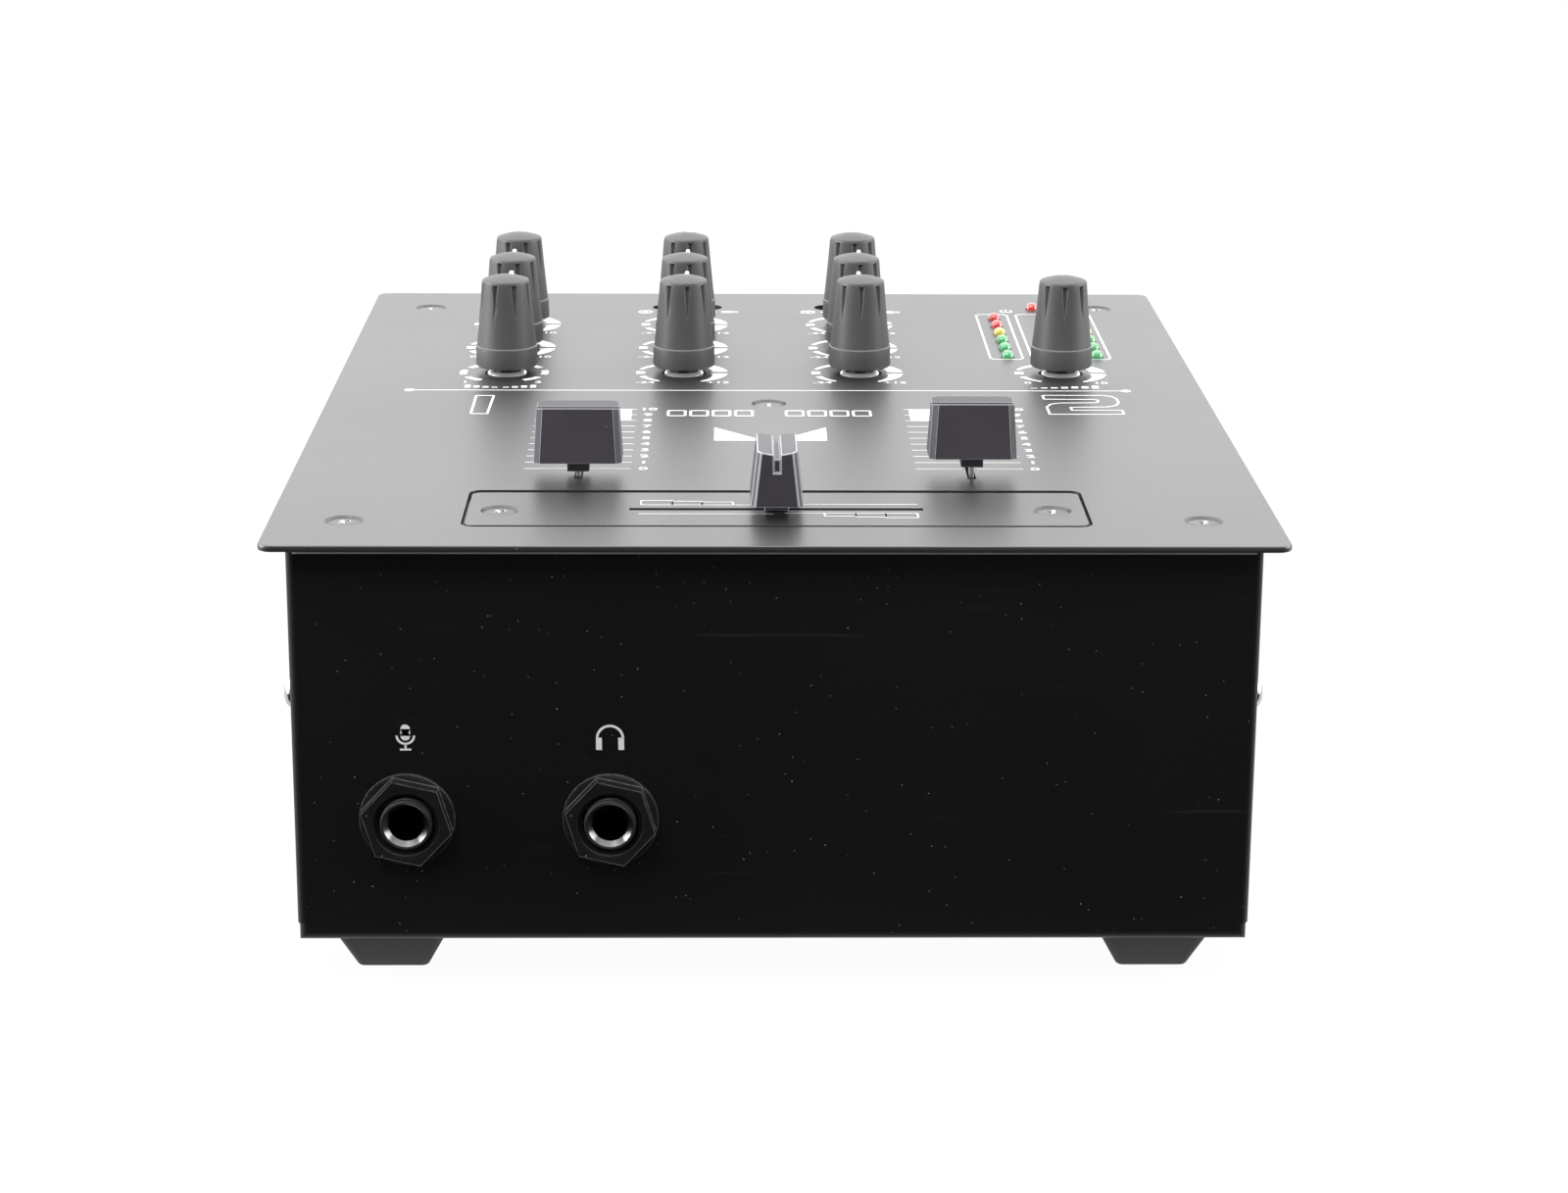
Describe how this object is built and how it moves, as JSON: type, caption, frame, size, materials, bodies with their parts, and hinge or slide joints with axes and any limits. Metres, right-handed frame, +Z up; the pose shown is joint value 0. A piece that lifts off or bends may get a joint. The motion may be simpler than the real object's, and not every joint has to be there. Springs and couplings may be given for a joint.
{
  "type": "dj mixer",
  "caption": "Compact DJ mixer: black sheet-steel case on rubber feet, fluted rotary knobs, channel faders, crossfader plate, level meters, front jacks and rear sockets.",
  "frame": {"origin": "centre of the plan outline, on the surface the feet stand on", "axes": "+X to the player's right, +Y from the crossfader edge to the rear sockets, +Z up out of the control panel"},
  "size_m": [0.18, 0.23, 0.1046],
  "materials": {
    "black_powder_coat": "black satin powder coat",
    "panel_screw_steel": "bright plated steel",
    "nickel_plate": "bright nickel",
    "lever_metal": "dark plated steel",
    "foot_rubber": "matte",
    "knob_soft_grey": "soft-touch",
    "cap_plastic": "fine textured",
    "black_plastic": "satin",
    "gloss_black": "gloss",
    "green_lens": "tinted clear",
    "red_lens": "tinted clear",
    "circuit_board": "solder mask"
  },
  "bodies": {
    "chassis": {"top_panel": "black_powder_coat", "chassis_tray": "black_powder_coat", "crossfader_plate": "black_powder_coat", "foot_front_left": "foot_rubber", "panel_screw_front_left": "panel_screw_steel", "side_screw_front_left": "nickel_plate", "foot_front_right": "foot_rubber", "panel_screw_front_right": "panel_screw_steel", "side_screw_front_right": "nickel_plate", "foot_rear_left": "foot_rubber", "panel_screw_rear_left": "panel_screw_steel", "side_screw_rear_left": "nickel_plate", "foot_rear_right": "foot_rubber", "panel_screw_rear_right": "panel_screw_steel", "side_screw_rear_right": "nickel_plate", "panel_screw_centre": "panel_screw_steel", "plate_screw_left": "panel_screw_steel", "plate_screw_right": "panel_screw_steel", "channel_fader_1": "black_plastic", "channel_fader_2": "black_plastic", "crossfader": "black_plastic", "level_meter_left": "green_lens", "level_meter_right": "green_lens", "power_lamp": "red_lens", "mic_jack": "black_plastic", "mic_jack_nut": "gloss_black", "phones_jack": "black_plastic", "phones_jack_nut": "gloss_black", "control_board": "circuit_board", "rear_board": "circuit_board"},
    "knob_mic_level": {"knob_mic_level": "knob_soft_grey", "shaft_mic_level": "black_plastic"},
    "knob_cue_level": {"knob_cue_level": "knob_soft_grey", "shaft_cue_level": "black_plastic"},
    "knob_cue_mix": {"knob_cue_mix": "knob_soft_grey", "shaft_cue_mix": "black_plastic"},
    "knob_gain_1": {"knob_gain_1": "knob_soft_grey", "shaft_gain_1": "black_plastic"},
    "knob_treble_1": {"knob_treble_1": "knob_soft_grey", "shaft_treble_1": "black_plastic"},
    "knob_bass_1": {"knob_bass_1": "knob_soft_grey", "shaft_bass_1": "black_plastic"},
    "knob_gain_2": {"knob_gain_2": "knob_soft_grey", "shaft_gain_2": "black_plastic"},
    "knob_treble_2": {"knob_treble_2": "knob_soft_grey", "shaft_treble_2": "black_plastic"},
    "knob_bass_2": {"knob_bass_2": "knob_soft_grey", "shaft_bass_2": "black_plastic"},
    "knob_master_level": {"knob_master_level": "knob_soft_grey", "shaft_master_level": "black_plastic"},
    "fader_1": {"fader_lever_1": "lever_metal", "fader_cap_1": "cap_plastic"},
    "selector_1": {"selector_slider_1": "black_plastic"},
    "fader_2": {"fader_lever_2": "lever_metal", "fader_cap_2": "cap_plastic"},
    "selector_2": {"selector_slider_2": "black_plastic"},
    "crossfader_carriage": {"crossfader_lever": "lever_metal", "crossfader_cap": "cap_plastic"},
    "power_rocker": {"power_rocker": "black_plastic"},
    "ground_terminal": {"ground_terminal": "nickel_plate"}
  },
  "joints": [
    {"name": "mic_level_turn", "type": "hinge", "parent": "chassis", "child": "knob_mic_level", "pos_m": [-0.0549, 0.074, 0.085], "axis": [0, 0, -1], "range_deg": [-150, 150]},
    {"name": "cue_level_turn", "type": "hinge", "parent": "chassis", "child": "knob_cue_level", "pos_m": [-0.0549, 0.049, 0.085], "axis": [0, 0, -1], "range_deg": [-150, 150]},
    {"name": "cue_mix_turn", "type": "hinge", "parent": "chassis", "child": "knob_cue_mix", "pos_m": [-0.0549, 0.024, 0.085], "axis": [0, 0, -1], "range_deg": [-150, 150]},
    {"name": "gain_1_turn", "type": "hinge", "parent": "chassis", "child": "knob_gain_1", "pos_m": [-0.0176, 0.074, 0.085], "axis": [0, 0, -1], "range_deg": [-150, 150]},
    {"name": "treble_1_turn", "type": "hinge", "parent": "chassis", "child": "knob_treble_1", "pos_m": [-0.0176, 0.049, 0.085], "axis": [0, 0, -1], "range_deg": [-150, 150]},
    {"name": "bass_1_turn", "type": "hinge", "parent": "chassis", "child": "knob_bass_1", "pos_m": [-0.0176, 0.024, 0.085], "axis": [0, 0, -1], "range_deg": [-150, 150]},
    {"name": "gain_2_turn", "type": "hinge", "parent": "chassis", "child": "knob_gain_2", "pos_m": [0.0195, 0.074, 0.085], "axis": [0, 0, -1], "range_deg": [-150, 150]},
    {"name": "treble_2_turn", "type": "hinge", "parent": "chassis", "child": "knob_treble_2", "pos_m": [0.0195, 0.049, 0.085], "axis": [0, 0, -1], "range_deg": [-150, 150]},
    {"name": "bass_2_turn", "type": "hinge", "parent": "chassis", "child": "knob_bass_2", "pos_m": [0.0195, 0.024, 0.085], "axis": [0, 0, -1], "range_deg": [-150, 150]},
    {"name": "master_level_turn", "type": "hinge", "parent": "chassis", "child": "knob_master_level", "pos_m": [0.0621, 0.024, 0.085], "axis": [0, 0, -1], "range_deg": [-150, 150]},
    {"name": "channel_1_fade", "type": "slide", "parent": "chassis", "child": "fader_1", "axis": [0, 1, 0], "range_m": [0, 0.059]},
    {"name": "channel_2_fade", "type": "slide", "parent": "chassis", "child": "fader_2", "axis": [0, 1, 0], "range_m": [0, 0.059]},
    {"name": "crossfade", "type": "slide", "parent": "chassis", "child": "crossfader_carriage", "axis": [1, 0, 0], "range_m": [-0.0225, 0.0225]},
    {"name": "selector_1_slide", "type": "slide", "parent": "chassis", "child": "selector_1", "axis": [1, 0, 0], "range_m": [0, 0.004]},
    {"name": "selector_2_slide", "type": "slide", "parent": "chassis", "child": "selector_2", "axis": [1, 0, 0], "range_m": [0, 0.004]},
    {"name": "power_rock", "type": "hinge", "parent": "chassis", "child": "power_rocker", "pos_m": [0.065, 0.1067, 0.037], "axis": [1, 0, 0], "range_deg": [0, 20]},
    {"name": "ground_turn", "type": "hinge", "parent": "chassis", "child": "ground_terminal", "pos_m": [0.049, 0.1057, 0.037], "axis": [0, 1, 0], "range_deg": [-180, 180]}
  ]
}
